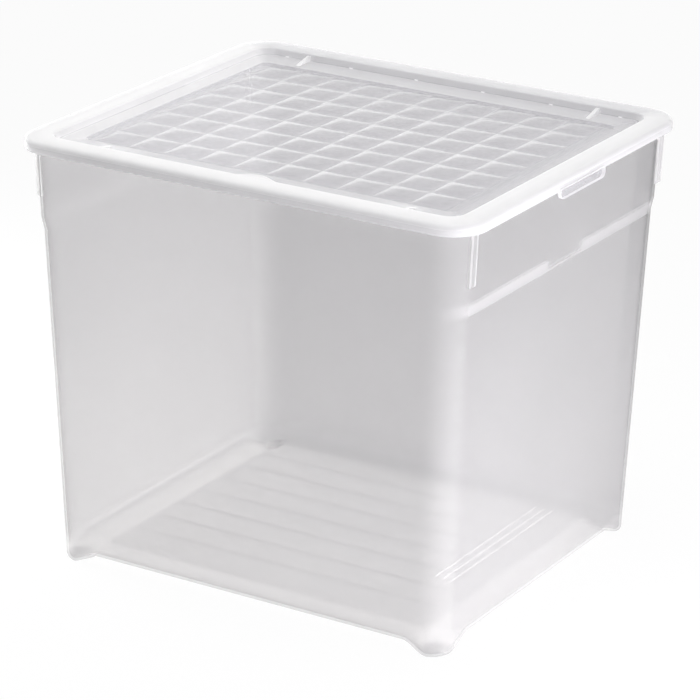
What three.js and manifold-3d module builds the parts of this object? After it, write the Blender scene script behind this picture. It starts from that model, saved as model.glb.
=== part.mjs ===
// A clear plastic storage box: a tapered, stepped tub on corner feet and a lift-off lid with a quilted panel.
// Millimetres, +Z up, origin at the middle of the base. X runs along the long sides.

import * as THREE from 'three';
import { mergeVertices } from 'three/addons/utils/BufferGeometryUtils.js';
import Module from 'manifold-3d';

const wasm = await Module();
wasm.setup();

// Overall size, taken over the lid
const LENGTH = 400;
const WIDTH = 345;
const HEIGHT = 350;

// Plastic thickness and the fit between the two mouldings
const TUB_WALL = 2;
const LID_WALL = 2;
const SEAT_GAP = 0.3;
const SKIRT_CLEARANCE = 0.8;

// Lid: rim, skirt and recess
const LID_CORNER = 29;
const SKIRT_HEIGHT = 9;
const RIM_WIDTH = 20;
const RIM_EDGE = 4;
const RECESS_DEPTH = 5.7;
const RECESS_DRAFT = 2.8;
const RECESS_BLEND = 0.7;
const RECESS_CORNER = 14;
const FRAME_STEP = 1.3;
const FRAME_CORNER = 6;

// Lid: quilted panel
const CELL = 30.9;
const BORDER_ROOM = 24;
const PANEL_END_MARGIN = 7.5;
const PANEL_SIDE_MARGIN = 3.5;
const PILLOW_RISE = 1.5;
const PILLOW_FULLNESS = 3.2;
const GROOVE_RISE = 0.15;

// Lid: pull tabs on the short sides, gussets and ribs on the long inner walls, lug at the front
const TAB_LENGTH = 70;
const TAB_DROP = 6;
const TAB_PROUD = 1.6;
const TAB_SETBACK = 0.6;
const TAB_CORNER = 5;
const GUSSET_INSET = 46;
const GUSSET_REACH = 17;
const GUSSET_HEIGHT = 4;
const GUSSET_THICKNESS = 3;
const WALL_RIB_WIDTH = 2;
const WALL_RIB_PROUD = 1;
const WALL_RIB_DROP = 1.4;
const LUG_LENGTH = 46;
const LUG_OFFSET = 9;
const LUG_REACH = 9;
const LUG_DROP = 0.5;

// Tub: walls
const END_LIP = 6;
const SIDE_LIP = 3.7;
const LIP_HEIGHT = 3.2;
const LIP_SLOPE = 2;
const LIP_EDGE = 1;
const END_DRAFT = 0.0401;
const SIDE_DRAFT = 0.0308;
const TUB_CORNER_TOP = 24;
const TUB_CORNER_BASE = 21.5;
const COLLAR_HEIGHT = 62.7;
const LEDGE_HEIGHT = 10;
const LEDGE_STEP = 1.2;

// Tub: finger scoops in the collar and guide ribs by the corners, both on the short sides
const SCOOP_WIDTH = 66;
const SCOOP_RAMP = 20;
const SCOOP_HEIGHT = 34;
const SCOOP_DEPTH = 1.35;
const GUIDE_ONTO_BEND = 4.5;
const GUIDE_THICKNESS = 2;
const GUIDE_HEIGHT = 48.5;
const GUIDE_PROUD = 3.6;
const GUIDE_CHAMFER = 2;
const GUIDE_ROOT = 1.4;

// Tub: floor and feet
const FOOT_HEIGHT = 9.8;
const FOOT_INSET = 18;
const FOOT_SIDE = 8;
const FOOT_WALL_SHIFT = 1.5;
const LONG_FOOT_RAMP = 14;
const WIDE_FOOT_RAMP = 22;
const FOOT_FLAT = 16;
const FOOT_CORNER = 8;
const WALL_FOOT_RUN = 1.5;
const BASE_EDGE = 5;
const END_PANEL_GAP = 3;
const SIDE_PANEL_GAP = 2;
const PANEL_BEVEL = 3;
const PANEL_RISE = 1.5;
const FLOOR_RIB_PITCH = 31;
const FLOOR_RIB_WIDTH = 5;
const FLOOR_RIB_HEIGHT = 0.6;
const END_RIBS = 3;
const END_RIB_PITCH = 7.4;
const END_RIB_INSET = 21.5;
const END_RIB_WIDTH = 2;
const END_RIB_HEIGHT = 0.6;
const FLOOR_RIB_MARGIN = 6;

// Facets
const CORNER_STEPS = 8;
const EDGE_STEPS = 3;
const RAMP_STEPS = 4;
const SCOOP_STEPS = 8;
const SCOOP_ROWS = 3;
const PILLOW_STEPS = 5;
const RIB_STEPS = 4;
const LUG_STEPS = 10;

// Sizes that follow from the ones above
const SKIRT_BOTTOM = HEIGHT - SKIRT_HEIGHT;
const RIM_UNDERSIDE = HEIGHT - LID_WALL;
const BORDER_TOP = HEIGHT - RECESS_DEPTH;
const PANEL_TOP = BORDER_TOP - FRAME_STEP;
const RECESS_HALF_X = LENGTH / 2 - RIM_WIDTH;
const RECESS_HALF_Y = WIDTH / 2 - RIM_WIDTH;
const CELLS_LONG = Math.floor(2 * (RECESS_HALF_X - BORDER_ROOM) / CELL);
const CELLS_WIDE = Math.floor(2 * (RECESS_HALF_Y - BORDER_ROOM) / CELL);
const GRID_HALF_X = CELL * CELLS_LONG / 2;
const GRID_HALF_Y = CELL * CELLS_WIDE / 2;
const TUB_TOP = RIM_UNDERSIDE - SEAT_GAP;
const LIP_HALF_X = LENGTH / 2 - LID_WALL - SKIRT_CLEARANCE;
const LIP_HALF_Y = WIDTH / 2 - LID_WALL - SKIRT_CLEARANCE;
const LIP_CORNER = LID_CORNER - LID_WALL - SKIRT_CLEARANCE;
const LEDGE_TOP = TUB_TOP - COLLAR_HEIGHT;
const LEDGE_BOTTOM = LEDGE_TOP - LEDGE_HEIGHT;
const SIDE_PANEL_INSET = FOOT_INSET + FOOT_SIDE + SIDE_PANEL_GAP;
const END_PANEL_INSET = FOOT_INSET + FOOT_SIDE + END_PANEL_GAP;
const FLOOR_TOP = FOOT_HEIGHT + TUB_WALL + PANEL_RISE;

// Geometry helpers

// An indexed geometry from points and triangles, turned inside out if its faces point in.
function closedGeometry(points, triangles) {
  const volume = triangles.reduce((sum, [a, b, c]) => {
    const cross = new THREE.Vector3().crossVectors(points[b], points[c]);
    return sum + points[a].dot(cross);
  }, 0);
  const facing = volume > 0 ? triangles : triangles.map(([a, b, c]) => [a, c, b]);
  const geometry = new THREE.BufferGeometry().setFromPoints(points);
  geometry.setIndex(facing.flat());
  return geometry;
}

// Skins a run of rings that have equal numbers of points, and closes both ends to their middles.
function loft(rings) {
  const count = rings[0].length;
  const points = rings.flat();
  const triangles = [];
  for (let ring = 0; ring + 1 < rings.length; ring += 1) {
    for (let i = 0; i < count; i += 1) {
      const next = (i + 1) % count;
      const [a, b] = [ring * count + i, ring * count + next];
      triangles.push([a, b, b + count], [a, b + count, a + count]);
    }
  }
  const closeEnd = (ring, flip) => {
    const middle = points.length;
    const sum = rings[ring].reduce((total, point) => total.add(point), new THREE.Vector3());
    points.push(sum.divideScalar(count));
    for (let i = 0; i < count; i += 1) {
      const [a, b] = [ring * count + i, ring * count + (i + 1) % count];
      triangles.push(flip ? [b, a, middle] : [a, b, middle]);
    }
  };
  closeEnd(0, true);
  closeEnd(rings.length - 1, false);
  return closedGeometry(points, triangles);
}

// A flat outline, given as [across, up] pairs, drawn out along +Z and then placed by a matrix.
function prism(outline, depth, matrix) {
  const shape = new THREE.Shape(outline.map(([x, y]) => new THREE.Vector2(x, y)));
  const options = { depth, bevelEnabled: false };
  return new THREE.ExtrudeGeometry(shape, options).applyMatrix4(matrix);
}

// A frame whose three axes are the outline's across, its up, and the way it is drawn out.
function placement(across, up, along, origin) {
  const matrix = new THREE.Matrix4().makeBasis(across, up, along);
  return matrix.setPosition(...origin);
}

const AXIS_X = new THREE.Vector3(1, 0, 0);
const AXIS_Y = new THREE.Vector3(0, 1, 0);
const AXIS_Z = new THREE.Vector3(0, 0, 1);

function solidFrom(geometry) {
  const bare = geometry.clone();
  bare.deleteAttribute('normal');
  bare.deleteAttribute('uv');
  const merged = mergeVertices(bare);
  const vertProperties = new Float32Array(merged.attributes.position.array);
  const triVerts = new Uint32Array(merged.index.array);
  return new wasm.Manifold(new wasm.Mesh({ numProp: 3, vertProperties, triVerts }));
}

function joined(geometries) {
  const solid = geometries.map(solidFrom).reduce((whole, piece) => whole.add(piece));
  const mesh = solid.getMesh();
  const geometry = new THREE.BufferGeometry();
  geometry.setAttribute('position', new THREE.BufferAttribute(mesh.vertProperties, 3));
  geometry.setIndex(new THREE.BufferAttribute(mesh.triVerts, 1));
  geometry.computeVertexNormals();
  return geometry;
}

// Stations round a rounded rectangle, anticlockwise from the +X side. Each names the quarter turn it
// belongs to, and is either a corner angle or a fraction of the straight run, from -1 to 1.
function stations(endFractions, sideFractions) {
  const list = [];
  for (let turn = 0; turn < 4; turn += 1) {
    const fractions = turn % 2 === 0 ? endFractions : sideFractions;
    fractions.forEach((along) => list.push({ turn, along }));
    for (let step = 0; step <= CORNER_STEPS; step += 1) {
      list.push({ turn, angle: step / CORNER_STEPS * Math.PI / 2 });
    }
  }
  return list;
}

// The point of a station on a rounded rectangle of the given half sizes and corner radius.
function stationPoint(station, halfX, halfY, corner, z) {
  const odd = station.turn % 2 === 1;
  const [out, run] = odd ? [halfY, halfX] : [halfX, halfY];
  const local = station.angle === undefined
    ? new THREE.Vector3(out, station.along * (run - corner), z)
    : new THREE.Vector3(
      out - corner + corner * Math.cos(station.angle),
      run - corner + corner * Math.sin(station.angle),
      z,
    );
  return local.applyAxisAngle(AXIS_Z, station.turn * Math.PI / 2);
}

const smooth = (t) => THREE.MathUtils.smoothstep(t, 0, 1);

// The tub's outer half sizes and corner radius at a height.
function tubOutline(z) {
  const below = TUB_TOP - z;
  const rise = Math.min(Math.max((z - LEDGE_BOTTOM) / LEDGE_HEIGHT, 0), 1);
  const step = LEDGE_STEP * (1 - rise);
  return {
    halfX: LIP_HALF_X - END_LIP - END_DRAFT * below - step,
    halfY: LIP_HALF_Y - SIDE_LIP - SIDE_DRAFT * below - step,
    corner: TUB_CORNER_BASE + (TUB_CORNER_TOP - TUB_CORNER_BASE) * z / TUB_TOP,
  };
}

// Stations of the tub: extra ones follow the foot ramps by each corner and the scoops at mid end. Each has
// its share of the feet, which stand on the middle of the bends and ramp up either way, and of the scoops.
function tubStations() {
  const base = tubOutline(FOOT_HEIGHT);
  const collar = tubOutline(LEDGE_TOP);
  const ramp = (length, run) => Array.from({ length: RAMP_STEPS }, (_, i) => {
    return 1 - (i + 1) / RAMP_STEPS * length / run;
  });
  const endRun = base.halfY - base.corner;
  const sideRun = base.halfX - base.corner;
  const collarRun = collar.halfY - collar.corner;
  const scoop = Array.from({ length: SCOOP_STEPS + 1 }, (_, i) => {
    return (i / SCOOP_STEPS - 0.5) * SCOOP_WIDTH / collarRun;
  });
  const endRamp = ramp(WIDE_FOOT_RAMP, endRun);
  const sideRamp = ramp(LONG_FOOT_RAMP, sideRun);
  const mirrored = (list) => list.map((fraction) => -fraction);
  const ends = [...mirrored(endRamp), ...scoop, ...endRamp].sort((a, b) => a - b);
  const sides = [...mirrored(sideRamp), 0, ...sideRamp].sort((a, b) => a - b);
  const ontoBend = (base.corner * Math.PI / 2 - FOOT_FLAT) / 2;
  const footShare = (away, length) => 1 - smooth((away + ontoBend) / (length + ontoBend));
  return stations(ends, sides).map((station) => {
    const onEnd = station.turn % 2 === 0;
    if (station.angle !== undefined) {
      const pastEnd = onEnd === station.angle < Math.PI / 4;
      const intoBend = base.corner * Math.min(station.angle, Math.PI / 2 - station.angle);
      const foot = footShare(-intoBend, pastEnd ? WIDE_FOOT_RAMP : LONG_FOOT_RAMP);
      return { ...station, foot, scoop: 0 };
    }
    const [run, length] = onEnd ? [endRun, WIDE_FOOT_RAMP] : [sideRun, LONG_FOOT_RAMP];
    const foot = footShare((1 - Math.abs(station.along)) * run, length);
    const fromEdge = SCOOP_WIDTH / 2 - Math.abs(station.along) * collarRun;
    return { ...station, foot, scoop: onEnd ? smooth(fromEdge / SCOOP_RAMP) : 0 };
  });
}

// One ring of the tub. inset moves it in from the outer wall, and endInset does so at the ends alone. foot
// lets it down into the feet, scoop presses it in at mid end, and slide lets that part slip down the ledge.
function tubRing(stationList, course) {
  const { z, inset = 0, endInset = inset, lift = 0, foot = 0, scoop = 0, slide = 0 } = course;
  const { halfX, halfY, corner } = tubOutline(z);
  const ledgeRun = LEDGE_STEP + END_DRAFT * LEDGE_HEIGHT;
  return stationList.map((station) => {
    const pressed = scoop * SCOOP_DEPTH * station.scoop;
    const radius = Math.max(corner - inset, FOOT_CORNER);
    const height = z + lift - foot * FOOT_HEIGHT * station.foot - slide * pressed * LEDGE_HEIGHT / ledgeRun;
    return stationPoint(station, halfX - endInset - pressed, halfY - inset, radius, height);
  });
}

// A ring of the tub's lip, which sits inside the lid's skirt.
function lipRing(stationList, z, inset) {
  return stationList.map((station) => {
    return stationPoint(station, LIP_HALF_X - inset, LIP_HALF_Y - inset, LIP_CORNER - inset, z);
  });
}

// The tub's skin: out over the underside, up the outer wall, over the lip and back down inside.
function tubShell() {
  const list = tubStations();
  const ring = (course) => tubRing(list, course);
  const rounding = (radius, share) => {
    const angle = share * Math.PI / 2;
    const inset = BASE_EDGE - radius * Math.sin(angle);
    return { z: FOOT_HEIGHT, inset, lift: BASE_EDGE - radius * Math.cos(angle), foot: 1 };
  };
  const panel = (bevel, lift) => {
    return { z: FOOT_HEIGHT, inset: SIDE_PANEL_INSET + bevel, endInset: END_PANEL_INSET + bevel, lift };
  };
  const wallFoot = FOOT_HEIGHT + BASE_EDGE + WALL_FOOT_RUN;
  const collar = Array.from({ length: SCOOP_ROWS + 1 }, (_, row) => {
    const share = row / SCOOP_ROWS;
    return { z: LEDGE_TOP + share * SCOOP_HEIGHT, scoop: 1 - share, slide: row === 0 ? 1 : 0 };
  });
  const lipFoot = TUB_TOP - LIP_HEIGHT - LIP_SLOPE;
  const walls = [{ z: wallFoot }, { z: LEDGE_BOTTOM }, ...collar, { z: lipFoot }];

  const underside = [
    panel(PANEL_BEVEL, PANEL_RISE),
    panel(0, 0),
    { z: FOOT_HEIGHT, inset: FOOT_INSET + FOOT_SIDE },
    { z: FOOT_HEIGHT, inset: FOOT_INSET, foot: 1 },
    rounding(BASE_EDGE, 0),
    rounding(BASE_EDGE, 0.5),
    rounding(BASE_EDGE, 1),
  ];
  const inside = [
    rounding(BASE_EDGE - TUB_WALL, 1),
    rounding(BASE_EDGE - TUB_WALL, 0.5),
    rounding(BASE_EDGE - TUB_WALL, 0),
    { z: FOOT_HEIGHT, inset: FOOT_INSET - FOOT_WALL_SHIFT, lift: TUB_WALL, foot: 1 },
    { z: FOOT_HEIGHT, inset: FOOT_INSET + FOOT_SIDE - FOOT_WALL_SHIFT, lift: TUB_WALL },
    panel(0, TUB_WALL),
    panel(PANEL_BEVEL, TUB_WALL + PANEL_RISE),
  ];
  const innerWalls = [...walls].reverse().map((course) => ({ ...course, inset: TUB_WALL }));

  return loft([
    ...underside.map(ring),
    ...walls.map(ring),
    lipRing(list, TUB_TOP - LIP_HEIGHT, 0),
    lipRing(list, TUB_TOP - LIP_EDGE, 0),
    lipRing(list, TUB_TOP, LIP_EDGE),
    ring({ z: TUB_TOP, inset: TUB_WALL }),
    ...innerWalls.map(ring),
    ...inside.map(ring),
  ]);
}

// Upright guide ribs under the lip, by the corners of the short sides. Their outer edge is upright and
// their root follows the wall's draft.
function guideRibs() {
  const top = TUB_TOP - LIP_HEIGHT / 2;
  const bottom = top - GUIDE_HEIGHT;
  const root = (z) => tubOutline(z).halfX - GUIDE_ROOT;
  const { halfX, halfY, corner } = tubOutline(top);
  const edge = halfX + GUIDE_PROUD;
  const place = halfY - corner + GUIDE_ONTO_BEND;
  const outline = [[root(bottom), bottom], [edge, bottom + GUIDE_CHAMFER], [edge, top], [root(top), top]];
  const ribs = [];
  for (const end of [-1, 1]) {
    for (const side of [-1, 1]) {
      const across = AXIS_X.clone().multiplyScalar(end);
      const along = AXIS_Y.clone().multiplyScalar(-end);
      const origin = [0, side * place + end * GUIDE_THICKNESS / 2, 0];
      ribs.push(prism(outline, GUIDE_THICKNESS, placement(across, AXIS_Z, along, origin)));
    }
  }
  return ribs;
}

// A low rounded rib on the floor: its section is a shallow arc, sunk a little into the plate.
function floorRibSection(width, height) {
  const arc = Array.from({ length: RIB_STEPS + 1 }, (_, i) => {
    const across = width / 2 - width * i / RIB_STEPS;
    const share = 2 * across / width;
    return [across, height * (1 - share * share)];
  });
  return [[-width / 2, -TUB_WALL / 2], [width / 2, -TUB_WALL / 2], ...arc];
}

// Ribs across the floor panel, along its length, and a group of finer ones near each end.
function floorRibs() {
  const { halfX, halfY } = tubOutline(FOOT_HEIGHT);
  const flatX = halfX - END_PANEL_INSET - PANEL_BEVEL;
  const reachX = flatX - FLOOR_RIB_MARGIN;
  const reachY = halfY - SIDE_PANEL_INSET - PANEL_BEVEL - FLOOR_RIB_MARGIN;
  const ribs = [];
  const longSection = floorRibSection(FLOOR_RIB_WIDTH, FLOOR_RIB_HEIGHT);
  const outermost = Math.floor((reachY - FLOOR_RIB_WIDTH / 2) / FLOOR_RIB_PITCH);
  for (let i = -outermost; i <= outermost; i += 1) {
    const place = placement(AXIS_Y, AXIS_Z, AXIS_X, [-reachX, i * FLOOR_RIB_PITCH, FLOOR_TOP]);
    ribs.push(prism(longSection, 2 * reachX, place));
  }
  const endSection = floorRibSection(END_RIB_WIDTH, END_RIB_HEIGHT);
  for (const end of [-1, 1]) {
    for (let i = 0; i < END_RIBS; i += 1) {
      const x = end * (flatX - END_RIB_INSET - i * END_RIB_PITCH);
      const place = placement(AXIS_X.clone().negate(), AXIS_Z, AXIS_Y, [x, -reachY, FLOOR_TOP]);
      ribs.push(prism(endSection, 2 * reachY, place));
    }
  }
  return ribs;
}

// The lid's skin: out over the panel and the rim, down the skirt and back along the underside.
function lidShell() {
  const list = stations([], []);
  const ring = (halfX, halfY, corner, z) => {
    return list.map((station) => stationPoint(station, halfX, halfY, corner, z));
  };
  const rim = (inset, z) => {
    return ring(LENGTH / 2 - inset, WIDTH / 2 - inset, LID_CORNER - inset, z);
  };
  const recess = (inset, z) => {
    return ring(RECESS_HALF_X - inset, RECESS_HALF_Y - inset, RECESS_CORNER, z);
  };
  const frame = (outset, z) => {
    const halfX = GRID_HALF_X + PANEL_END_MARGIN + outset;
    return ring(halfX, GRID_HALF_Y + PANEL_SIDE_MARGIN + outset, FRAME_CORNER, z);
  };
  const roundedEdge = Array.from({ length: EDGE_STEPS + 1 }, (_, step) => {
    const angle = (1 - step / EDGE_STEPS) * Math.PI / 2;
    return rim(RIM_EDGE * (1 - Math.cos(angle)), HEIGHT - RIM_EDGE * (1 - Math.sin(angle)));
  });
  return loft([
    frame(0, PANEL_TOP),
    frame(FRAME_STEP / 2, BORDER_TOP),
    recess(RECESS_DRAFT + RECESS_BLEND, BORDER_TOP),
    recess(RECESS_DRAFT, BORDER_TOP + RECESS_BLEND),
    recess(RECESS_BLEND, HEIGHT - RECESS_BLEND),
    recess(-RECESS_BLEND, HEIGHT),
    ...roundedEdge,
    rim(0, SKIRT_BOTTOM),
    rim(LID_WALL, SKIRT_BOTTOM),
    rim(LID_WALL, RIM_UNDERSIDE),
    recess(-LID_WALL, RIM_UNDERSIDE),
    recess(RECESS_DRAFT - LID_WALL, BORDER_TOP - LID_WALL),
    frame(FRAME_STEP / 2, BORDER_TOP - LID_WALL),
    frame(0, PANEL_TOP - LID_WALL),
  ]);
}

// The quilted panel: a grid of pillows, each a low dome that falls off ever more steeply to its groove.
function pillowPanel() {
  const shares = Array.from({ length: PILLOW_STEPS }, (_, step) => {
    return (1 - Math.cos(step / PILLOW_STEPS * Math.PI)) / 2;
  });
  const profile = shares.map((share) => 1 - Math.abs(2 * share - 1) ** PILLOW_FULLNESS);
  const columns = CELLS_LONG * shares.length;
  const rows = CELLS_WIDE * shares.length;
  const along = (index, cells) => {
    const cell = Math.floor(index / shares.length);
    return (cell + shares[index % shares.length] - cells / 2) * CELL;
  };
  const points = [];
  for (const base of [false, true]) {
    for (let row = 0; row <= rows; row += 1) {
      for (let column = 0; column <= columns; column += 1) {
        const rise = profile[column % shares.length] * profile[row % shares.length] * PILLOW_RISE;
        const z = base ? PANEL_TOP - LID_WALL / 2 : PANEL_TOP + GROOVE_RISE + rise;
        points.push(new THREE.Vector3(along(column, CELLS_LONG), along(row, CELLS_WIDE), z));
      }
    }
  }
  const layer = (rows + 1) * (columns + 1);
  const at = (column, row) => row * (columns + 1) + column;
  const triangles = [];
  for (let row = 0; row < rows; row += 1) {
    for (let column = 0; column < columns; column += 1) {
      const [a, b] = [at(column, row), at(column + 1, row)];
      const [c, d] = [at(column + 1, row + 1), at(column, row + 1)];
      triangles.push([a, b, c], [a, c, d]);
    }
  }
  const border = [];
  for (let column = 0; column < columns; column += 1) border.push(at(column, 0));
  for (let row = 0; row < rows; row += 1) border.push(at(columns, row));
  for (let column = columns; column > 0; column -= 1) border.push(at(column, rows));
  for (let row = rows; row > 0; row -= 1) border.push(at(0, row));
  const middle = points.length;
  points.push(new THREE.Vector3(0, 0, PANEL_TOP - LID_WALL / 2));
  border.forEach((a, i) => {
    const b = border[(i + 1) % border.length];
    triangles.push([a, a + layer, b + layer], [a, b + layer, b], [b + layer, a + layer, middle]);
  });
  const used = [...new Set(triangles.flat())];
  const place = new Map(used.map((old, index) => [old, index]));
  const kept = used.map((old) => points[old]);
  return closedGeometry(kept, triangles.map((triangle) => triangle.map((old) => place.get(old))));
}

// A pull tab: a plate with rounded lower corners, hung on the skirt in the middle of each short side.
function pullTabs() {
  const half = TAB_LENGTH / 2;
  const low = SKIRT_BOTTOM - TAB_DROP;
  const high = SKIRT_BOTTOM + LID_WALL;
  const corner = (side) => Array.from({ length: EDGE_STEPS + 1 }, (_, step) => {
    const angle = step / EDGE_STEPS * Math.PI / 2;
    const turn = side < 0 ? angle : Math.PI / 2 - angle;
    const across = half - TAB_CORNER * (1 - Math.cos(turn));
    return [side * across, low + TAB_CORNER * (1 - Math.sin(turn))];
  });
  const outline = [[-half, high], ...corner(-1), ...corner(1), [half, high]];
  return [-1, 1].map((end) => {
    const across = AXIS_Y.clone().multiplyScalar(end);
    const along = AXIS_X.clone().multiplyScalar(end);
    const inner = LENGTH / 2 - LID_WALL + TAB_SETBACK;
    const thickness = LID_WALL - TAB_SETBACK + TAB_PROUD;
    return prism(outline, thickness, placement(across, AXIS_Z, along, [end * inner, 0, 0]));
  });
}

// Gussets and ribs on the long inner walls of the recess, outlined by their reach from the wall and height.
function wallFeatures() {
  const root = -LID_WALL / 2;
  const low = BORDER_TOP - LID_WALL / 2;
  const ribTop = HEIGHT - WALL_RIB_DROP;
  const gussetTop = BORDER_TOP + GUSSET_HEIGHT;
  const gussetReach = RECESS_DRAFT + GUSSET_REACH;
  const gussetSlope = [[gussetReach, BORDER_TOP], [RECESS_DRAFT, gussetTop]];
  const gusset = [[root, low], [gussetReach, low], ...gussetSlope, [root, gussetTop]];
  const rib = [[root, low], [RECESS_DRAFT + WALL_RIB_PROUD, low], [WALL_RIB_PROUD, ribTop], [root, ribTop]];
  const placed = (outline, side, x, thickness) => {
    const across = AXIS_Y.clone().multiplyScalar(-side);
    const along = AXIS_X.clone().multiplyScalar(-side);
    const start = [x + side * thickness / 2, side * RECESS_HALF_Y, 0];
    return prism(outline, thickness, placement(across, AXIS_Z, along, start));
  };
  const features = [];
  for (const side of [-1, 1]) {
    for (const end of [-1, 1]) {
      features.push(placed(gusset, side, end * (RECESS_HALF_X - GUSSET_INSET), GUSSET_THICKNESS));
    }
    for (let line = -CELLS_LONG / 2; line <= CELLS_LONG / 2; line += 2) {
      features.push(placed(rib, side, line * CELL, WALL_RIB_WIDTH));
    }
  }
  return features;
}

// The lug that swells out of the front inner wall, drawn in plan and raised nearly to the rim.
function frontLug() {
  const low = BORDER_TOP - LID_WALL / 2;
  const root = -LID_WALL / 2;
  const swell = Array.from({ length: LUG_STEPS + 1 }, (_, i) => {
    const across = 1 - 2 * i / LUG_STEPS;
    return [across * LUG_LENGTH / 2, LUG_REACH * smooth(1 - Math.abs(across))];
  });
  const outline = [[-LUG_LENGTH / 2, root], [LUG_LENGTH / 2, root], ...swell];
  const place = placement(AXIS_X, AXIS_Y, AXIS_Z, [LUG_OFFSET, -RECESS_HALF_Y, low]);
  return prism(outline, HEIGHT - LUG_DROP - low, place);
}

// Materials and the finished pieces
const clearPlastic = (name, color, roughness) => new THREE.MeshStandardMaterial({
  name, color, roughness, metalness: 0, transparent: true, opacity: 0.55,
});

const tub = new THREE.Mesh(
  joined([tubShell(), ...guideRibs(), ...floorRibs()]),
  clearPlastic('tub_plastic', 0xe3e5e6, 0.28),
);
tub.name = 'box_tub';

const lid = new THREE.Mesh(
  joined([lidShell(), pillowPanel(), ...pullTabs(), ...wallFeatures(), frontLug()]),
  clearPlastic('lid_plastic', 0xf1f2f3, 0.22),
);
lid.name = 'lid';

const storageBox = new THREE.Group();
storageBox.add(tub, lid);

export default storageBox;
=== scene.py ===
# Looks of a clear plastic storage box: a tapered tub on corner feet and a lift-off, quilted lid.
# Sizes are in millimetres and turn into metres where a mesh is made. X runs along the long sides,
# and Z is up.

import math

import bmesh
import bpy
import numpy as np
from mathutils import Matrix, Vector


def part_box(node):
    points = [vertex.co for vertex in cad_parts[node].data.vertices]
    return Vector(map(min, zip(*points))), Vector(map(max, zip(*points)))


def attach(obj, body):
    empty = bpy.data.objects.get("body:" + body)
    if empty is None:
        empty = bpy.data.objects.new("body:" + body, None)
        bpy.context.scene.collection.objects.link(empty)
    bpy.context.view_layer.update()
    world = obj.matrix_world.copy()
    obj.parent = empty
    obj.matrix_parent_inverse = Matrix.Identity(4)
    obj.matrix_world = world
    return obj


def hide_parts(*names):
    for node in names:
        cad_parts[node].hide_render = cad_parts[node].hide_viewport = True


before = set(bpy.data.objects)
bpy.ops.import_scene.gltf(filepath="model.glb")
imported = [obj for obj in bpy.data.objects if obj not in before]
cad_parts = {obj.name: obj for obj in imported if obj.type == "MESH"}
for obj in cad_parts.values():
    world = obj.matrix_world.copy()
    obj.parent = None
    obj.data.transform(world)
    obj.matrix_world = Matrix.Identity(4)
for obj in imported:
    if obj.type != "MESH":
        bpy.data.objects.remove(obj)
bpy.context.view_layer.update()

MM = 0.001
lid_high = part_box("lid")[1] / MM
tub_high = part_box("box_tub")[1] / MM

# Overall sizes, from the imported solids
TAB_PROUD = 1.6
LENGTH = 2 * (lid_high.x - TAB_PROUD)
WIDTH = 2 * lid_high.y
HEIGHT = lid_high.z
TUB_TOP = tub_high.z
LIP_HALF_X = tub_high.x
LIP_HALF_Y = tub_high.y

# Lid: rim, skirt and recess
LID_WALL = 2.0
LID_CORNER = 29.0
SKIRT_HEIGHT = 9.0
SKIRT_EDGE = 0.9
RIM_WIDTH = 20.0
RIM_EDGE = 4.0
RECESS_DEPTH = 5.7
RECESS_DRAFT = 2.8
RECESS_BLEND = 0.9
RECESS_CORNER = 14.0
FRAME_STEP = 1.3
FRAME_CORNER = 6.0
PANEL_END_MARGIN = 7.5
PANEL_SIDE_MARGIN = 3.5

# Lid: quilted panel
CELL = 30.9
CELLS_LONG = 10
CELLS_WIDE = 8
PILLOW_RISE = 1.5
GROOVE_RISE = 0.15
PILLOW_FULLNESS = 3.2
PILLOW_STEPS = 20

# Lid: tabs, gussets, ribs and lug
TAB_LENGTH = 70.0
TAB_DROP = 6.0
TAB_SETBACK = 0.6
TAB_CORNER = 5.0
GUSSET_INSET = 46.0
GUSSET_REACH = 17.0
GUSSET_HEIGHT = 4.0
GUSSET_THICKNESS = 3.0
WALL_RIB_WIDTH = 3.2
WALL_RIB_PROUD = 1.0
WALL_RIB_DROP = 1.4
LUG_LENGTH = 46.0
LUG_OFFSET = 9.0
LUG_REACH = 9.0
LUG_DROP = 0.5

# Tub: walls
TUB_WALL = 2.0
END_LIP = 6.0
SIDE_LIP = 3.7
LIP_HEIGHT = 3.2
LIP_SLOPE = 2.0
LIP_EDGE = 1.0
LIP_CORNER = 26.2
END_DRAFT = 0.0401
SIDE_DRAFT = 0.0308
TUB_CORNER_TOP = 24.0
TUB_CORNER_BASE = 21.5
COLLAR_HEIGHT = 62.7
LEDGE_HEIGHT = 10.0
LEDGE_STEP = 1.2
LEDGE_SHEER = 7.5
LEDGE_SLACK = 0.5
LEDGE_LINE = 2.0
LEDGE_MARGIN = 1.0

# Tub: finger scoops and guide ribs on the short sides
SCOOP_WIDTH = 66.0
SCOOP_HEIGHT = 34.0
SCOOP_DEPTH = 1.35
SCOOP_RAMP = 20.0
GUIDE_ONTO_BEND = 4.5
GUIDE_THICKNESS = 2.0
GUIDE_HEIGHT = 48.5
GUIDE_PROUD = 3.6
GUIDE_CHAMFER = 2.0
GUIDE_ROOT = 1.4
GUIDE_SPREAD = 2.6
ROOT_PROUD = 0.3
BLADE_FOOT = 1.0

# Tub: floor and feet
FOOT_HEIGHT = 9.8
FOOT_INSET = 18.0
FOOT_SIDE = 8.0
FOOT_WALL_SHIFT = 1.5
LONG_FOOT_RAMP = 14.0
WIDE_FOOT_RAMP = 22.0
FOOT_FLAT = 16.0
FOOT_CORNER = 8.0
WALL_FOOT_RUN = 1.5
BASE_EDGE = 5.0
END_PANEL_GAP = 3.0
SIDE_PANEL_GAP = 2.0
PANEL_BEVEL = 3.0
PANEL_RISE = 1.5
FLOOR_RIB_PITCH = 31.0
FLOOR_RIB_WIDTH = 5.0
FLOOR_RIB_HEIGHT = 0.6
FLOOR_RIB_MARGIN = 6.0
END_RIBS = 3
END_RIB_PITCH = 7.4
END_RIB_INSET = 21.5
END_RIB_WIDTH = 2.0
END_RIB_HEIGHT = 0.6
END_RIB_FAINT = 72.0

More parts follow.
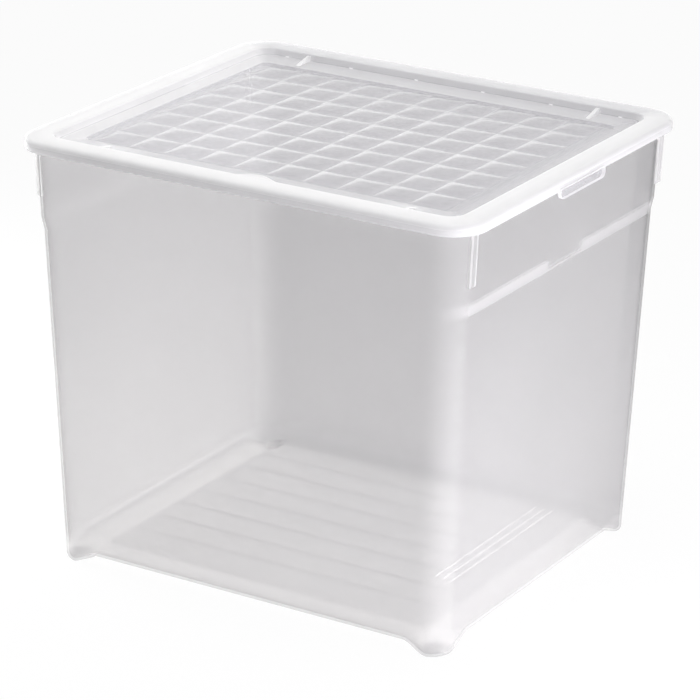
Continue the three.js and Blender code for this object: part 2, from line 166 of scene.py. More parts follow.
# Facets
CORNER_STEPS = 14
EDGE_STEPS = 7
RAMP_STEPS = 10
SCOOP_STEPS = 40
WALL_RINGS = 8
LEDGE_RINGS = 12
COLLAR_RINGS = 8
RIB_STEPS = 8
LUG_STEPS = 24
STRAIGHT_STOPS = [-0.5, 0.0, 0.5]
SHARP_ANGLE = math.radians(32)

# Haze and painted light: the added haze of each place, or painted shade below 0; values that differ
# by side or mark a band are painted light and shade
BEND_POWER = 4
RIM_MILK = 1.0
# Painted shade: the back rim gets less haze than the other sides, so it reads darker
BACK_RIM_PAINTED_SHADE = 0.45
SKIRT_MILK = 0.8
SKIRT_FOOT_MILK = 0.5
TAB_MILK = 0.15
LIP_MILK = 0.8
# Painted light: the ledge band is lit strongly on the right end, faintly on the left and the long
# sides
RIGHT_LEDGE_PAINTED_LIGHT = 0.28
LEFT_LEDGE_PAINTED_LIGHT = 0.06
SIDE_LEDGE_PAINTED_LIGHT = 0.03
# Painted shade: the back wall and the far bend are dimmed, the bend more towards the top
BACK_WALL_PAINTED_SHADE = -0.09
FAR_BEND_PAINTED_SHADE = -0.2
# Painted light round the underside's border, base edge and feet, and a painted shadow along the
# back of the floor
FLOOR_BORDER_PAINTED_LIGHT = 0.11
BACK_FLOOR_PAINTED_SHADOW = -0.1
# Painted shadow: the floor panel is dimmed a little
FLOOR_PANEL_PAINTED_SHADOW = -0.03
# Painted shade on the floor ribs, and painted light on the fine ribs at the right end; those at the
# left end and the front part stay faint
FLOOR_RIB_PAINTED_SHADE = -0.12
END_RIB_PAINTED_LIGHT = 0.4
FAINT_RIB_MILK = 0.02
GUIDE_MILK = 0.7
LUG_MILK = 1.0
# Painted light: the recess walls at the ends are hazier and lighter than those on the long sides
SIDE_RECESS_PAINTED_LIGHT = 0.42
END_RECESS_PAINTED_LIGHT = 0.9
# Painted light and shade: the lid's border is lightest on the left and darkest on the right
RIGHT_BORDER_PAINTED_LIGHT = 0.1
BACK_BORDER_PAINTED_LIGHT = 0.3
LEFT_BORDER_PAINTED_LIGHT = 0.6
FRONT_BORDER_PAINTED_LIGHT = 0.3
# Painted shade: the quilted panel dims what passes a little
LID_PANEL_PAINTED_SHADE = -0.06
# Haze in the pillows' grooves, partly real and partly a painted highlight along them
GROOVE_HAZE_AND_HIGHLIGHT = 0.2

# Plastic: cloudiness and grain, what changes at a slant, and how it gets clearer towards the floor
CLOUD_SCALE = 9.0
CLOUD_DETAIL = 3.0
GRAIN_SCALE = 900.0
GRAIN_DETAIL = 2.0
GRAIN_STRENGTH = 0.004
GRAIN_DEPTH = 0.0005
HAZE_SPREAD = 0.02
ROUGHNESS_SPREAD = 0.04
MOTTLE = 0.97
THROUGH_SHARE = 0.45
# Painted shade: the grey that places below 0 dim the passing light towards
PAINTED_SHADE_COLOUR = (0.35, 0.35, 0.36, 1.0)
WHITE = (1.0, 1.0, 1.0, 1.0)
FACING_BLEND = 0.5
EDGE_HAZE = 0.04
EDGE_POWER = 4.0
DEPTH_POWER = 2.0
GLOSS_POWER = 5.0
FACE_ON_GLOSS = 0.03
FLOOR_SHEER = 22.0
FLOOR_HAZE_CUT = 0.05
FLOOR_DEPTH_CUT = 0.8

# Stage
STAGE_SIDE = 6000.0
STAGE_GREY = (0.9, 0.9, 0.9, 1.0)
STAGE_WHITE_SHARE = 0.95
AMBIENT_COLOUR = (0.94, 0.95, 1.0, 1.0)
AMBIENT = 0.02
WARM = (1.0, 0.99, 0.94)
COOL = (0.972, 0.95, 1.0)
CLEAR_BOUNCES = 32

# Sizes that follow
SKIRT_BOTTOM = HEIGHT - SKIRT_HEIGHT
RIM_UNDERSIDE = HEIGHT - LID_WALL
BORDER_TOP = HEIGHT - RECESS_DEPTH
PANEL_TOP = BORDER_TOP - FRAME_STEP
RECESS_HALF_X = LENGTH / 2 - RIM_WIDTH
RECESS_HALF_Y = WIDTH / 2 - RIM_WIDTH
GRID_HALF_X = CELL * CELLS_LONG / 2
GRID_HALF_Y = CELL * CELLS_WIDE / 2
LEDGE_TOP = TUB_TOP - COLLAR_HEIGHT
LEDGE_BOTTOM = LEDGE_TOP - LEDGE_HEIGHT
SIDE_PANEL_INSET = FOOT_INSET + FOOT_SIDE + SIDE_PANEL_GAP
END_PANEL_INSET = FOOT_INSET + FOOT_SIDE + END_PANEL_GAP
FLOOR_TOP = FOOT_HEIGHT + TUB_WALL + PANEL_RISE

# Camera, fitted to the lid's corners, the tub's edges and the feet in the photograph
IMAGE_SIDE = 700
FOCAL_PIXELS = 3496.79
CENTRE_PIXEL = (349.61, 344.04)
SENSOR = 36.0
CAMERA_AZIMUTH = math.radians(31.191)
CAMERA_ELEVATION = math.radians(20.528)
CAMERA_ROLL = math.radians(0.753)
CAMERA_DISTANCE = 2.75508
CAMERA_REACH = 50.0
CAMERA_TARGET = Vector((0.0, 0.0, 0.170))


# Mesh helpers

def smooth(t):
    """Eases from 0 to 1."""
    t = np.clip(t, 0.0, 1.0)
    return t * t * (3 - 2 * t)


def quarter_arc(steps):
    """Angles from 0 to a quarter turn."""
    return np.linspace(0.0, math.pi / 2, steps + 1)


def stations(end_fractions, side_fractions):
    """Stations round a rounded rectangle, anticlockwise from the +X side: straight ones hold a
    fraction of the run, from -1 to 1, and bends hold an angle."""
    rows = []
    for turn in range(4):
        fractions = end_fractions if turn % 2 == 0 else side_fractions
        rows += [(turn, fraction, 0.0, False) for fraction in fractions]
        rows += [(turn, 0.0, angle, True) for angle in quarter_arc(CORNER_STEPS)]
    turn, along, angle, bend = (np.array(column) for column in zip(*rows))
    return {"turn": turn, "along": along, "angle": angle, "bend": bend}


def ring(places, half_x, half_y, corner, z):
    """The points of the stations on a rounded rectangle at a height."""
    odd = places["turn"] % 2 == 1
    out = np.where(odd, half_y, half_x)
    run = np.where(odd, half_x, half_y)
    bend, angle = places["bend"], places["angle"]
    across = np.where(bend, out - corner * (1 - np.cos(angle)), out)
    straight = places["along"] * (run - corner)
    along = np.where(bend, run - corner * (1 - np.sin(angle)), straight)
    turned = places["turn"] * math.pi / 2
    x = across * np.cos(turned) - along * np.sin(turned)
    y = across * np.sin(turned) + along * np.cos(turned)
    return np.column_stack([x, y, np.broadcast_to(z, x.shape)])


def by_side(places, right, back, left, front):
    """A value for each side of the box, which turns into the next one's late in the bend."""
    values = np.array([right, back, left, front])
    ahead = values[(places["turn"] + 1) % 4]
    share = np.sin(places["angle"]) ** BEND_POWER
    return values[places["turn"]] * (1 - share) + ahead * share


def new_object(name, points, faces, haze_and_painted_light):
    """A closed mesh object from points in millimetres, with a haze and painted light value for each
    face or one for all."""
    mesh = bpy.data.meshes.new(name)
    mesh.from_pydata((np.asarray(points) * MM).tolist(), [], faces)
    shell = bmesh.new()
    shell.from_mesh(mesh)
    bmesh.ops.recalc_face_normals(shell, faces=shell.faces)
    shell.to_mesh(mesh)
    shell.free()
    values = mesh.attributes.new("haze_and_painted_light", "FLOAT", "FACE")
    haze_and_light_by_face = np.broadcast_to(np.asarray(haze_and_painted_light, np.float32), len(faces))
    values.data.foreach_set("value", haze_and_light_by_face)
    piece = bpy.data.objects.new(name, mesh)
    bpy.context.scene.collection.objects.link(piece)
    return piece


def banded(rings, haze_and_painted_light):
    """Rings that share one haze and painted light value."""
    return [(points, haze_and_painted_light) for points in rings]


def loft(name, bands):
    """Skins a run of rings with equal numbers of points and closes both ends to their middles. A
    ring's haze and painted light value, one for all or one for each station, is that of the strip
    that leads up to it."""
    rings = [points for points, _ in bands]
    count = len(rings[0])
    points = np.vstack([*rings, rings[0].mean(axis=0), rings[-1].mean(axis=0)])
    first, last = len(points) - 2, len(points) - 1
    faces, values = [], []
    for row in range(len(rings) - 1):
        values += np.broadcast_to(bands[row + 1][1], count).tolist()
        for i in range(count):
            a, b = row * count + i, row * count + (i + 1) % count
            faces.append((a, b, b + count, a + count))
    top = (len(rings) - 1) * count
    for middle, base, haze_and_painted_light in ((first, 0, bands[0][1]), (last, top, bands[-1][1])):
        values += np.broadcast_to(haze_and_painted_light, count).tolist()
        faces += [(base + i, base + (i + 1) % count, middle) for i in range(count)]
    return new_object(name, points, faces, values)


def prism(name, outline, depth, across, up, origin, side_haze_and_light=0.0, edge_haze_and_light=0.0):
    """An outline of (across, up) pairs, drawn out square to both by a depth."""
    across, up = np.array(across, float), np.array(up, float)
    drawn = np.cross(across, up)
    flat = np.array([origin + a * across + b * up for a, b in outline])
    count = len(flat)
    points = np.vstack([flat, flat + depth * drawn])
    faces = [tuple(range(count)), tuple(range(count, 2 * count))]
    for i in range(count):
        following = (i + 1) % count
        faces.append((i, following, count + following, count + i))
    return new_object(name, points, faces, [side_haze_and_light] * 2 + [edge_haze_and_light] * count)


def united(piece, features):
    """Joins features to a piece one by one, as one moulding."""
    for feature in features:
        step = piece.modifiers.new("union", "BOOLEAN")
        step.operation = "UNION"
        step.solver = "MANIFOLD"
        step.object = feature
    depsgraph = bpy.context.evaluated_depsgraph_get()
    mesh = bpy.data.meshes.new_from_object(piece.evaluated_get(depsgraph))
    piece.modifiers.clear()
    piece.data = mesh
    for feature in features:
        bpy.data.objects.remove(feature)
    mesh.shade_smooth()
    mesh.set_sharp_from_angle(angle=SHARP_ANGLE)
    return piece


# Tub

def tub_outline(z):
    """The outer half sizes and corner radius of the tub's wall at a height, with no scoops."""
    below = TUB_TOP - z
    step = LEDGE_STEP * (1 - np.clip((z - LEDGE_BOTTOM) / LEDGE_HEIGHT, 0, 1))
    half_x = LIP_HALF_X - END_LIP - END_DRAFT * below - step
    half_y = LIP_HALF_Y - SIDE_LIP - SIDE_DRAFT * below - step
    return half_x, half_y, TUB_CORNER_BASE + (TUB_CORNER_TOP - TUB_CORNER_BASE) * z / TUB_TOP


def tub_stations():
    """Stations of the tub, closer together at the foot ramps and scoops, with each one's share of
    both."""
    half_x, half_y, corner = tub_outline(FOOT_HEIGHT)
    end_run, side_run = half_y - corner, half_x - corner
    _, collar_half_y, collar_corner = tub_outline(LEDGE_TOP)
    scoop_reach = SCOOP_WIDTH / 2 / (collar_half_y - collar_corner)

    def ramp(length, run):
        return 1 - np.linspace(0, 1, RAMP_STEPS + 1)[1:] * length / run

    end_ramp, side_ramp = ramp(WIDE_FOOT_RAMP, end_run), ramp(LONG_FOOT_RAMP, side_run)
    scoop = np.linspace(-scoop_reach, scoop_reach, SCOOP_STEPS + 1)
    ends = np.sort(np.concatenate([-end_ramp, scoop, end_ramp]))
    sides = np.sort(np.concatenate([-side_ramp, STRAIGHT_STOPS, side_ramp]))
    places = stations(ends, sides)
    on_end = places["turn"] % 2 == 0
    run = np.where(on_end, end_run, side_run)
    wide_ramp = on_end ^ (places["angle"] > math.pi / 4)
    length = np.where(wide_ramp, WIDE_FOOT_RAMP, LONG_FOOT_RAMP)
    into_bend = corner * np.minimum(places["angle"], math.pi / 2 - places["angle"])
    away = np.where(places["bend"], -into_bend, (1 - np.abs(places["along"])) * run)
    onto_bend = (corner * math.pi / 2 - FOOT_FLAT) / 2
    places["foot"] = 1 - smooth((away + onto_bend) / (length + onto_bend))
    from_edge = SCOOP_WIDTH / 2 * (1 - np.abs(places["along"]) / scoop_reach)
    straight_end = on_end & ~places["bend"]
    places["scoop"] = np.where(straight_end, smooth(from_edge / SCOOP_RAMP), 0.0)
    return places


def wall_ring(places, z, inset):
    """A ring of the tub's wall: the scoop cuts the collar and the ledge back to its own face."""
    half_x, half_y, corner = tub_outline(z)
    collar_x = LIP_HALF_X - END_LIP - END_DRAFT * (TUB_TOP - z)
    fade = 1 - smooth((z - LEDGE_TOP) / SCOOP_HEIGHT)
    scooped = np.minimum(half_x, collar_x - SCOOP_DEPTH * places["scoop"] * fade)
    return ring(places, scooped - inset, half_y - inset, corner - inset, z)


def base_ring(places, inset, lift, foot, end_inset=None):
    """A ring of the tub's base, let down into the feet where foot is 1."""
    half_x, half_y, corner = tub_outline(FOOT_HEIGHT)
    radius = max(corner - inset, FOOT_CORNER)
    end_inset = inset if end_inset is None else end_inset
    z = FOOT_HEIGHT + lift - foot * FOOT_HEIGHT * places["foot"]
    return ring(places, half_x - end_inset, half_y - inset, radius, z)


def wall_painted_shade(places, z):
    """Painted shade: the back wall is dimmed a little, and so is the far bend, more towards the
    top.
    """
    far_bend = places["bend"] & (places["turn"] == 0)
    back = by_side(places, 0.0, BACK_WALL_PAINTED_SHADE, 0.0, 0.0)
    return back + FAR_BEND_PAINTED_SHADE * smooth(z / TUB_TOP) * far_bend


def ledge_painted_light(places, z):
    """Painted light on the ledge under the collar: a lit band, most on the short sides and far more
    on the right than the left, and less where the scoop takes the ledge away."""
    if not LEDGE_BOTTOM - LEDGE_SLACK < z < LEDGE_TOP + LEDGE_SLACK:
        return 0.0
    kept = 1.0 if z < LEDGE_BOTTOM + LEDGE_LINE else 1 - places["scoop"]
    fade = 1 - smooth((z - LEDGE_BOTTOM - LEDGE_SHEER) / (LEDGE_HEIGHT - LEDGE_SHEER))
    long_side = SIDE_LEDGE_PAINTED_LIGHT
    haze_and_painted_light = by_side(places, RIGHT_LEDGE_PAINTED_LIGHT, long_side, LEFT_LEDGE_PAINTED_LIGHT, long_side)
    return haze_and_painted_light * kept * fade


def tub_shell():
    """The tub's skin: out over the underside, up the wall, over the lip and back down inside."""
    places = tub_stations()

    def rounding(radius, angles):
        insets = BASE_EDGE - radius * np.sin(angles)
        lifts = BASE_EDGE - radius * np.cos(angles)
        return [base_ring(places, inset, lift, 1) for inset, lift in zip(insets, lifts)]

    def panel(bevel, lift):
        return base_ring(places, SIDE_PANEL_INSET + bevel, lift, 0, END_PANEL_INSET + bevel)

    def lip(inset, z):
        return ring(places, LIP_HALF_X - inset, LIP_HALF_Y - inset, LIP_CORNER - inset, z)

    def walls(heights, inset):
        # Painted shade on the back wall and the far bend, and painted light on the ledge
        painted_light_by_ring = [wall_painted_shade(places, z) + ledge_painted_light(places, z) for z in heights]
        return [(wall_ring(places, z, inset), haze_and_painted_light) for z, haze_and_painted_light in zip(heights, painted_light_by_ring)]

    # Painted light on the border, base edge and feet of the underside, and a painted shadow along
    # its back side
    border = FLOOR_BORDER_PAINTED_LIGHT
    border_painted_light = by_side(places, border, BACK_FLOOR_PAINTED_SHADOW, border, border)
    wall_foot = FOOT_HEIGHT + BASE_EDGE + WALL_FOOT_RUN
    lip_foot = TUB_TOP - LIP_HEIGHT - LIP_SLOPE
    ledge_low = LEDGE_BOTTOM - LEDGE_MARGIN
    heights = np.concatenate([
        [wall_foot],
        np.linspace(wall_foot + FOOT_HEIGHT, ledge_low, WALL_RINGS + 1)[:-1],
        np.linspace(ledge_low, LEDGE_TOP + LEDGE_MARGIN, LEDGE_RINGS + 1),
        np.linspace(LEDGE_TOP, LEDGE_TOP + SCOOP_HEIGHT, COLLAR_RINGS + 1)[1:],
        [lip_foot],
    ])
    angles = quarter_arc(EDGE_STEPS)
    edge = [
        lip(LIP_EDGE * (1 - math.cos(a)), TUB_TOP - LIP_EDGE * (1 - math.sin(a)))
        for a in angles
    ]
    foot_side = FOOT_INSET + FOOT_SIDE
    return loft("tub_moulding", [
        # Painted shadow: the floor panel's faces are dimmed a little
        (panel(PANEL_BEVEL, PANEL_RISE), FLOOR_PANEL_PAINTED_SHADOW),
        (panel(0, 0), FLOOR_PANEL_PAINTED_SHADOW),
        (base_ring(places, foot_side, 0, 0), border_painted_light),
        (base_ring(places, FOOT_INSET, 0, 1), border_painted_light),
        *banded(rounding(BASE_EDGE, angles), border_painted_light),
        *walls(heights, 0),
        (lip(0, TUB_TOP - LIP_HEIGHT), LIP_MILK),
        *banded(edge, LIP_MILK),
        (wall_ring(places, TUB_TOP, TUB_WALL), LIP_MILK),
        *walls(heights[::-1], TUB_WALL),
        *banded(rounding(BASE_EDGE - TUB_WALL, angles[::-1]), border_painted_light),
        (base_ring(places, FOOT_INSET - FOOT_WALL_SHIFT, TUB_WALL, 1), border_painted_light),
        (base_ring(places, foot_side - FOOT_WALL_SHIFT, TUB_WALL, 0), border_painted_light),
        (panel(0, TUB_WALL), border_painted_light),
        (panel(PANEL_BEVEL, TUB_WALL + PANEL_RISE), FLOOR_PANEL_PAINTED_SHADOW),
    ])


def guide_ribs():
    """Upright blades under the lip, by the corners of the short sides, on roots that spread into
    the wall."""
    top = TUB_TOP - LIP_HEIGHT / 2
    bottom = top - GUIDE_HEIGHT
    _, half_y, corner = tub_outline(top)
    place = half_y - corner + GUIDE_ONTO_BEND

    def section(z, proud):
        wall = tub_outline(z)[0]
        half = [
            (wall - GUIDE_ROOT, GUIDE_SPREAD),
            (wall + ROOT_PROUD, GUIDE_SPREAD),
            (wall + BLADE_FOOT, GUIDE_THICKNESS / 2),
            (wall + proud, GUIDE_THICKNESS / 2),
        ]
        outline = half + [(x, -y) for x, y in reversed(half)]
        return np.array([(x, y, z) for x, y in outline])

    sections = [
        (bottom, BLADE_FOOT, 0.0),
        (bottom + GUIDE_CHAMFER, GUIDE_PROUD, GUIDE_MILK),
        (top, GUIDE_PROUD, GUIDE_MILK),
    ]
    ribs = []
    for end in (-1, 1):
        for side in (-1, 1):
            turned, moved = (end, 1, 1), (0, side * place, 0)
            bands = [(section(z, proud) * turned + moved, haze_and_painted_light) for z, proud, haze_and_painted_light in sections]
            ribs.append(loft("guide", bands))
    return ribs


def rib_section(width, height):
    """A shallow arc, sunk a little into the plate below it."""
    across = np.linspace(width / 2, -width / 2, RIB_STEPS + 1)
    arc = [(a, height * (1 - (2 * a / width) ** 2)) for a in across]
    return [(-width / 2, -TUB_WALL / 2), (width / 2, -TUB_WALL / 2), *arc]


def floor_ribs():
    """Ribs along the floor panel, and a group of fine ones across it near each end."""
    half_x, half_y, _ = tub_outline(FOOT_HEIGHT)
    flat_x = half_x - END_PANEL_INSET - PANEL_BEVEL
    reach_x = flat_x - FLOOR_RIB_MARGIN
    reach_y = half_y - SIDE_PANEL_INSET - PANEL_BEVEL - FLOOR_RIB_MARGIN
    outermost = int((reach_y - FLOOR_RIB_WIDTH / 2) / FLOOR_RIB_PITCH)
    section = rib_section(FLOOR_RIB_WIDTH, FLOOR_RIB_HEIGHT)
    up = (0, 0, 1)
    ribs = []
    for i in range(-outermost, outermost + 1):
        origin = (-reach_x, i * FLOOR_RIB_PITCH, FLOOR_TOP)
        # Painted shade: the floor ribs are dimmed
        rib = prism("floor_rib", section, 2 * reach_x, (0, 1, 0), up, origin, edge_haze_and_light=FLOOR_RIB_PAINTED_SHADE)
        ribs.append(rib)
    fine = rib_section(END_RIB_WIDTH, END_RIB_HEIGHT)
    lengths = (
        (-reach_y, END_RIB_FAINT, FAINT_RIB_MILK),
        (END_RIB_FAINT - reach_y, 2 * reach_y - END_RIB_FAINT, END_RIB_PAINTED_LIGHT),
    )
    for end in (-1, 1):
        for i in range(END_RIBS):
            x = end * (flat_x - END_RIB_INSET - i * END_RIB_PITCH)
            for y, length, haze_and_painted_light in lengths:
                # Painted light: only the fine ribs at the right end, past their front part, are lit
                shown = haze_and_painted_light if end > 0 else FAINT_RIB_MILK
                origin = (x, y, FLOOR_TOP)
                rib = prism("end_rib", fine, length, (-1, 0, 0), up, origin, edge_haze_and_light=shown)
                ribs.append(rib)
    return ribs


# Lid

def lid_shell():
    """The lid's skin: out over the panel and the rim, down the skirt and back along the
    underside."""
    places = stations(STRAIGHT_STOPS, STRAIGHT_STOPS)

    def rim(inset, z):
        return ring(places, LENGTH / 2 - inset, WIDTH / 2 - inset, LID_CORNER - inset, z)

    def recess(inset, z):
        return ring(places, RECESS_HALF_X - inset, RECESS_HALF_Y - inset, RECESS_CORNER, z)

    def panel_frame(outset, z):
        half_x = GRID_HALF_X + PANEL_END_MARGIN + outset
        return ring(places, half_x, GRID_HALF_Y + PANEL_SIDE_MARGIN + outset, FRAME_CORNER, z)

    angles = quarter_arc(EDGE_STEPS)
    blend = RECESS_BLEND
    # Painted light: the recess walls at the ends are hazier and lighter than those on the long
    # sides
    end_haze_and_light, side_haze_and_light = END_RECESS_PAINTED_LIGHT, SIDE_RECESS_PAINTED_LIGHT
    recess_haze_and_light = by_side(places, end_haze_and_light, side_haze_and_light, end_haze_and_light, side_haze_and_light)
    # Painted shade: the back rim gets less haze than the other sides, so it reads darker
    rim_haze_and_light = by_side(places, RIM_MILK, BACK_RIM_PAINTED_SHADE, RIM_MILK, RIM_MILK)
    # Painted light and shade: the lid's border is lightest on the left and darkest on the right
    border_painted_light = by_side(
        places, RIGHT_BORDER_PAINTED_LIGHT, BACK_BORDER_PAINTED_LIGHT, LEFT_BORDER_PAINTED_LIGHT, FRONT_BORDER_PAINTED_LIGHT)
    rim_edge = [
        rim(RIM_EDGE * (1 - math.cos(a)), HEIGHT - RIM_EDGE * (1 - math.sin(a)))
        for a in angles[::-1]
    ]
    skirt_edge = [
        rim(SKIRT_EDGE * (1 - math.cos(a)), SKIRT_BOTTOM + SKIRT_EDGE * (1 - math.sin(a)))
        for a in angles
    ]
    foot_blend = [
        recess(RECESS_DRAFT + blend * (1 - math.sin(a)), BORDER_TOP + blend * (1 - math.cos(a)))
        for a in angles
    ]
    brow_blend = [
        recess(blend * math.cos(a) - blend * math.sin(a) / 2, HEIGHT - blend * (1 - math.sin(a)))
        for a in angles
    ]
    return loft("lid_moulding", [
        (panel_frame(0, PANEL_TOP), 0.0),
        (panel_frame(FRAME_STEP / 2, BORDER_TOP), 0.0),
        *banded(foot_blend, border_painted_light),
        (brow_blend[0], recess_haze_and_light),
        *banded(brow_blend[1:], rim_haze_and_light),
        *banded(rim_edge, rim_haze_and_light),
        (skirt_edge[0], SKIRT_MILK),
        *banded(skirt_edge[1:], SKIRT_FOOT_MILK),
        (rim(LID_WALL, SKIRT_BOTTOM), SKIRT_FOOT_MILK),
        (rim(LID_WALL, RIM_UNDERSIDE), SKIRT_FOOT_MILK),
        (recess(-LID_WALL, RIM_UNDERSIDE), rim_haze_and_light),
        (recess(RECESS_DRAFT - LID_WALL, BORDER_TOP - LID_WALL), 0.0),
        (panel_frame(FRAME_STEP / 2, BORDER_TOP - LID_WALL), 0.0),
        (panel_frame(0, PANEL_TOP - LID_WALL), 0.0),
    ])


def pillow_panel():
    """The quilted panel: a grid of pillows, each a low dome that falls more and more steeply to its
    groove, where the plastic is hazier; that haze is partly real and partly a painted highlight
    along the grooves."""
    shares = (1 - np.cos(np.linspace(0, math.pi, PILLOW_STEPS + 1))) / 2
    profile = 1 - np.abs(2 * shares - 1) ** PILLOW_FULLNESS

    def spread(cells):
        cell = np.repeat(np.arange(cells), PILLOW_STEPS)
        places = (cell + np.tile(shares[:-1], cells) - cells / 2) * CELL
        heights = np.tile(profile[:-1], cells)
        return np.append(places, cells * CELL / 2), np.append(heights, 0.0)

    x, rise_x = spread(CELLS_LONG)
    y, rise_y = spread(CELLS_WIDE)
    columns, rows = len(x), len(y)
    grid_x, grid_y = np.meshgrid(x, y)
    rise = np.outer(rise_y, rise_x)
    top = PANEL_TOP + GROOVE_RISE + PILLOW_RISE * rise
    surface = np.column_stack([grid_x.ravel(), grid_y.ravel(), top.ravel()])
    index = np.arange(rows * columns).reshape(rows, columns)
    border = np.concatenate([index[0, :-1], index[:-1, -1], index[-1, :0:-1], index[:0:-1, 0]])
    skirt = surface[border]
    skirt[:, 2] = PANEL_TOP - LID_WALL / 2
    points = np.vstack([surface, skirt])
    corners = [index[:-1, :-1], index[:-1, 1:], index[1:, 1:], index[1:, :-1]]
    faces = [tuple(quad) for quad in np.stack(corners, axis=-1).reshape(-1, 4).tolist()]
    below = rows * columns
    count = len(border)
    for i in range(count):
        following = (i + 1) % count
        faces.append((int(border[following]), int(border[i]), below + i, below + following))
    faces.append(tuple(below + i for i in range(count - 1, -1, -1)))
    middle = sum(rise.ravel()[corner] for corner in corners).ravel() / len(corners)
    # Painted shade: the quilted panel dims what passes a little
    haze_and_painted_light = np.full(len(faces), LID_PANEL_PAINTED_SHADE)
    # Haze in the grooves, partly real and partly a painted highlight along them
    haze_and_painted_light[:len(middle)] += GROOVE_HAZE_AND_HIGHLIGHT * (1 - middle) ** 2
    return new_object("pillows", points, faces, haze_and_painted_light)


def pull_tabs():
    """A plate with rounded lower corners, hung on the skirt in the middle of each short side."""
    half = TAB_LENGTH / 2
    low, high = SKIRT_BOTTOM - TAB_DROP, SKIRT_BOTTOM + LID_WALL
    angles = quarter_arc(EDGE_STEPS)
    corner = [
        (half - TAB_CORNER * (1 - math.cos(a)), low + TAB_CORNER * (1 - math.sin(a)))
        for a in angles
    ]
    outline = [(-half, high), *[(-a, b) for a, b in corner], *corner[::-1], (half, high)]
    inner = LENGTH / 2 - LID_WALL + TAB_SETBACK
    thickness = LID_WALL - TAB_SETBACK + TAB_PROUD
    tabs = []
    for end in (-1, 1):
        origin = (end * inner, 0, 0)
        tab = prism("tab", outline, thickness, (0, end, 0), (0, 0, 1), origin, TAB_MILK, RIM_MILK)
        tabs.append(tab)
    return tabs


def recess_features():
    """Gussets and ribs on the long inner walls of the recess, and the lug that swells from the
    front one."""
    root, low = -LID_WALL / 2, BORDER_TOP - LID_WALL / 2
    rib_top, gusset_top = HEIGHT - WALL_RIB_DROP, BORDER_TOP + GUSSET_HEIGHT
    reach = RECESS_DRAFT + GUSSET_REACH
    slope = [(reach, BORDER_TOP), (RECESS_DRAFT, gusset_top)]
    gusset = [(root, low), (reach, low), *slope, (root, gusset_top)]
    proud = WALL_RIB_PROUD
    rib = [(root, low), (RECESS_DRAFT + proud, low), (proud, rib_top), (root, rib_top)]

    def placed(outline, side, x, thickness):
        origin = (x + side * thickness / 2, side * RECESS_HALF_Y, 0)
        inward, up = (0, -side, 0), (0, 0, 1)
        return prism("feature", outline, thickness, inward, up, origin, RIM_MILK, RIM_MILK)

    features = []
    for side in (-1, 1):
        for end in (-1, 1):
            x = end * (RECESS_HALF_X - GUSSET_INSET)
            features.append(placed(gusset, side, x, GUSSET_THICKNESS))
        for line in range(-CELLS_LONG // 2, CELLS_LONG // 2 + 1, 2):
            features.append(placed(rib, side, line * CELL, WALL_RIB_WIDTH))
    across = np.linspace(1, -1, LUG_STEPS + 1)
    swell = [(a * LUG_LENGTH / 2, LUG_REACH * smooth(1 - abs(a))) for a in across]
    outline = [(-LUG_LENGTH / 2, root), (LUG_LENGTH / 2, root), *swell]
    origin = (LUG_OFFSET, -RECESS_HALF_Y, low)
    tall = HEIGHT - LUG_DROP - low
    lug = prism("lug", outline, tall, (1, 0, 0), (0, 1, 0), origin, LUG_MILK, LUG_MILK)
    return [*features, lug]


# Materials

def node_adder(tree):
    """Empties a node tree and gives back a helper that adds a node with its settings, constants
    and links."""
    tree.nodes.clear()

    def add(kind, values=None, **settings):
        made = tree.nodes.new(kind)
        for key, value in settings.items():
            setattr(made, key, value)
        for key, value in (values or {}).items():
            if isinstance(value, bpy.types.NodeSocket):
                tree.links.new(value, made.inputs[key])
            else:
                made.inputs[key].default_value = value
        return made

    return add


def shader_tree(name):
    """An empty node material and its node helper."""
    material = bpy.data.materials.new(name)
    material.use_nodes = True
    return material, node_adder(material.node_tree)


def math_node(add, operation, *values, clamp=False):
    """The result of one operation on numbers or sockets."""
    made = add("ShaderNodeMath", dict(enumerate(values)), operation=operation, use_clamp=clamp)
    return made.outputs[0]


def mixed_colour(add, share, first, second):
    """The first colour, which turns into the second as the share rises."""
    values = {"Factor": share, 6: first, 7: second}
    return add("ShaderNodeMix", values, data_type="RGBA").outputs[2]


def mixed_shader(add, share, first, second):
    """The first shader, which turns into the second as the share rises."""
    return add("ShaderNodeMixShader", {0: share, 1: first, 2: second}).outputs[0]


